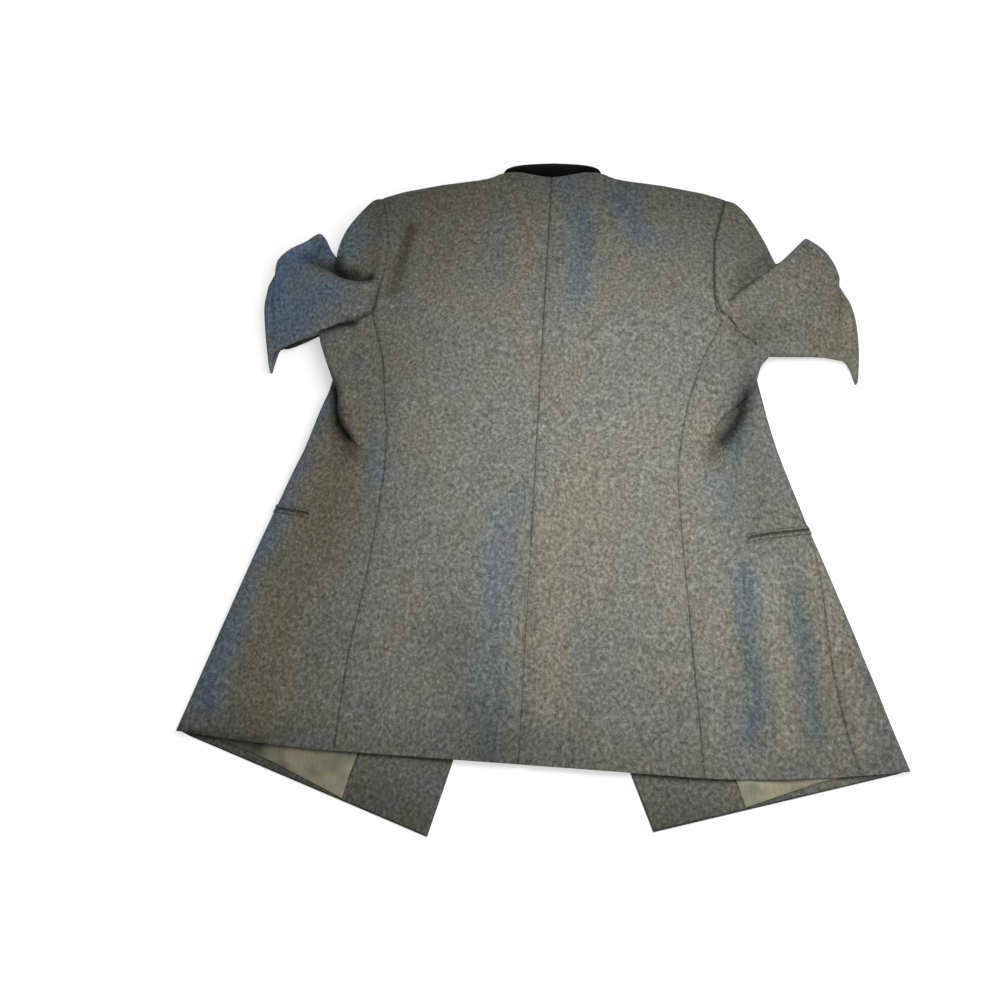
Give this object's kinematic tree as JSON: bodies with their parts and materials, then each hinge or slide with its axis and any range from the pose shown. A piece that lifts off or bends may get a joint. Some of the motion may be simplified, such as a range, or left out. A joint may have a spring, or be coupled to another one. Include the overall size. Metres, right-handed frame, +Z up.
{
  "type": "double-breasted blazer",
  "caption": "Grey woollen double-breasted blazer laid flat on its front, back up, sleeves folded beneath, collar turned up.",
  "frame": {"origin": "centre of the blazer's bounding box, on the surface it lies on", "axes": "+X to the wearer's right side, +Y from the hem to the collar, +Z up out of the back"},
  "size_m": [0.8136, 0.9158, 0.0464],
  "materials": {
    "wool_cloth": "matte",
    "collar_melton": "matte",
    "lining_satin": "satin",
    "horn_button": "satin"
  },
  "bodies": {
    "root": {"back_left": "wool_cloth", "back_right": "wool_cloth", "side_left": "wool_cloth", "side_right": "wool_cloth", "front_left": "wool_cloth", "front_right": "wool_cloth", "top_sleeve_left": "wool_cloth", "top_sleeve_right": "wool_cloth", "under_sleeve_left": "wool_cloth", "under_sleeve_right": "wool_cloth", "lapel_left": "wool_cloth", "lapel_right": "wool_cloth", "facing_left": "wool_cloth", "facing_right": "wool_cloth", "hem_turn_left": "wool_cloth", "hem_turn_right": "wool_cloth", "pocket_upper_lip_left": "wool_cloth", "pocket_upper_lip_right": "wool_cloth", "pocket_lower_lip_left": "wool_cloth", "pocket_lower_lip_right": "wool_cloth", "upper_collar": "wool_cloth", "under_collar": "collar_melton", "lining_left": "lining_satin", "lining_right": "lining_satin", "button_left_1": "horn_button", "button_left_2": "horn_button", "button_left_3": "horn_button", "button_right_1": "horn_button", "button_right_2": "horn_button", "button_right_3": "horn_button"}
  },
  "joints": []
}
